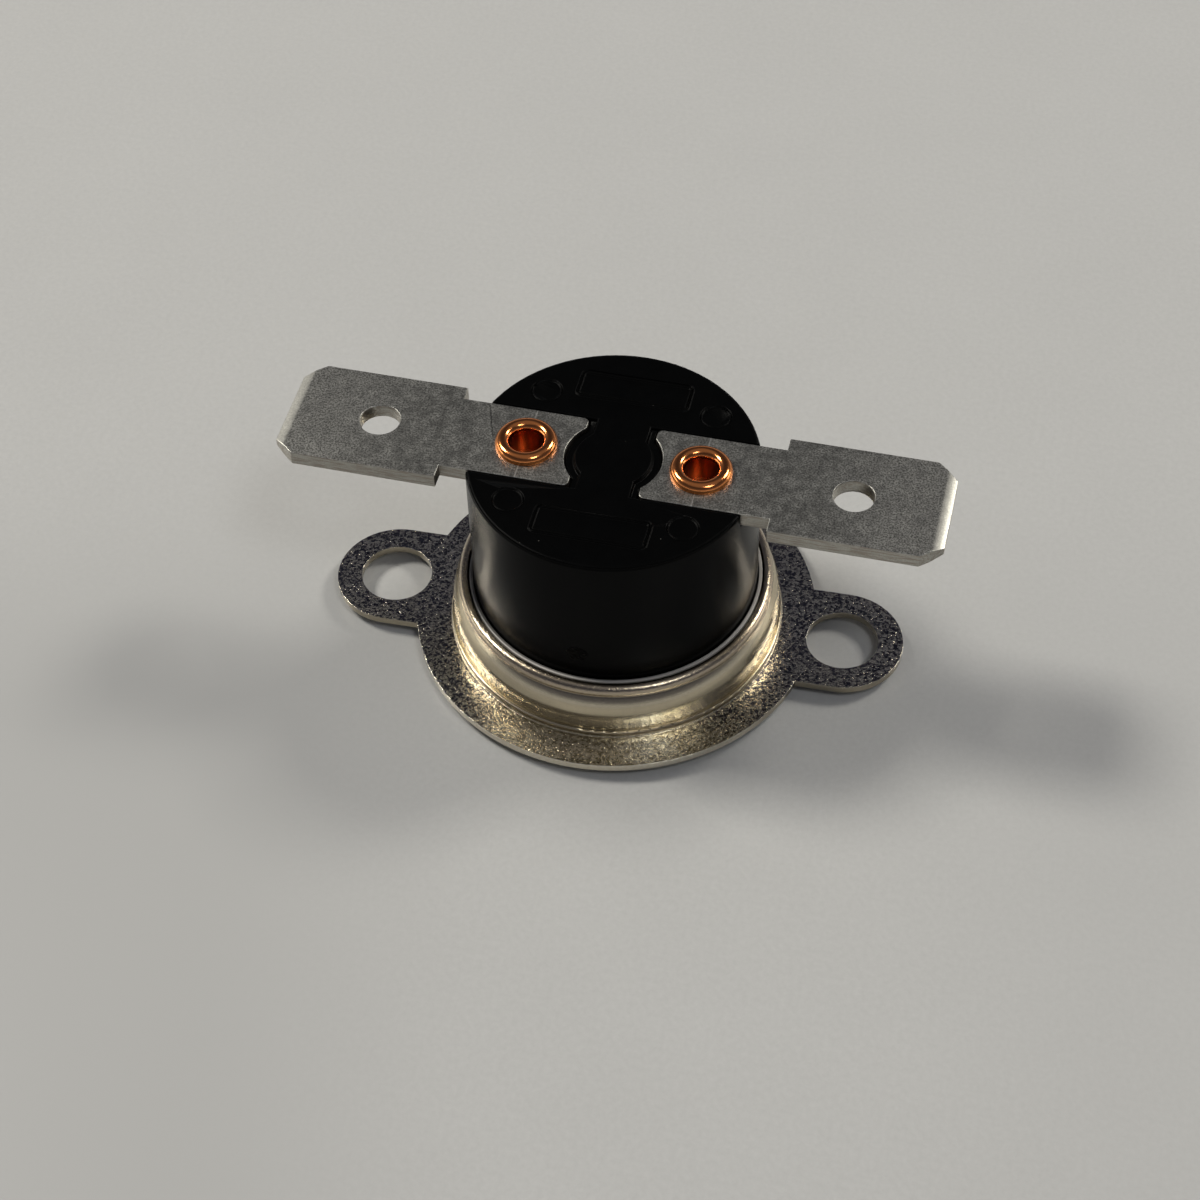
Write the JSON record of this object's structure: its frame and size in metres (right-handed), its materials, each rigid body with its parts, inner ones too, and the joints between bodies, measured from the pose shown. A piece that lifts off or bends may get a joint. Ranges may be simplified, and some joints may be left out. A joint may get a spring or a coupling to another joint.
{
  "type": "bimetal thermostat",
  "caption": "Round disc-type bimetal thermostat: black moulded body in a plated flange with eared screw holes, flat quick-connect blades and copper rivets on top.",
  "frame": {"origin": "centre of the round sensing face, on the surface that the part stands on", "axes": "+Z from the sensing face towards the terminals, +X along the terminal blades"},
  "size_m": [0.0336, 0.021, 0.0127],
  "materials": {
    "phenolic": "black phenolic moulding, matt top and semi-gloss side",
    "guide_resin": "brown phenolic moulding",
    "cup_metal": "drawn aluminium, satin",
    "plated_steel": "nickel-plated steel, grainy flat and smooth drawn collar",
    "bimetal": "rolled bimetal strip",
    "pin_ceramic": "unglazed steatite ceramic",
    "spring_copper": "rolled beryllium copper",
    "contact_silver": "silver alloy contact",
    "strip_brass": "rolled brass",
    "tinned_brass": "matt tin plate on brass with fine scratches",
    "copper": "bright copper, rolled over"
  },
  "bodies": {
    "housing": {"body": "phenolic", "guide_plate": "guide_resin", "cup": "cup_metal", "mounting_flange": "plated_steel", "bimetal_disc": "bimetal", "contact_arm": "spring_copper", "fixed_contact_strip": "strip_brass", "fixed_contact": "contact_silver", "left_terminal": "tinned_brass", "right_terminal": "tinned_brass", "left_rivet": "copper", "right_rivet": "copper"},
    "pin": {"transfer_pin": "pin_ceramic"},
    "contact": {"moving_contact": "contact_silver"}
  },
  "joints": [
    {"name": "pin_slide", "type": "slide", "parent": "housing", "child": "pin", "axis": [0, 0, 1], "range_m": [0, 0.0004], "deforming": ["bimetal_disc", "contact_arm"]},
    {"name": "contact_lift", "type": "hinge", "parent": "housing", "child": "contact", "pos_m": [-0.0026, 0, 0.00813], "axis": [0, -1, 0], "range_deg": [0, 8.8]}
  ],
  "couplings": [
    {"joint": "contact_lift", "follows": "pin_slide", "rad_per_m": 383.97}
  ]
}
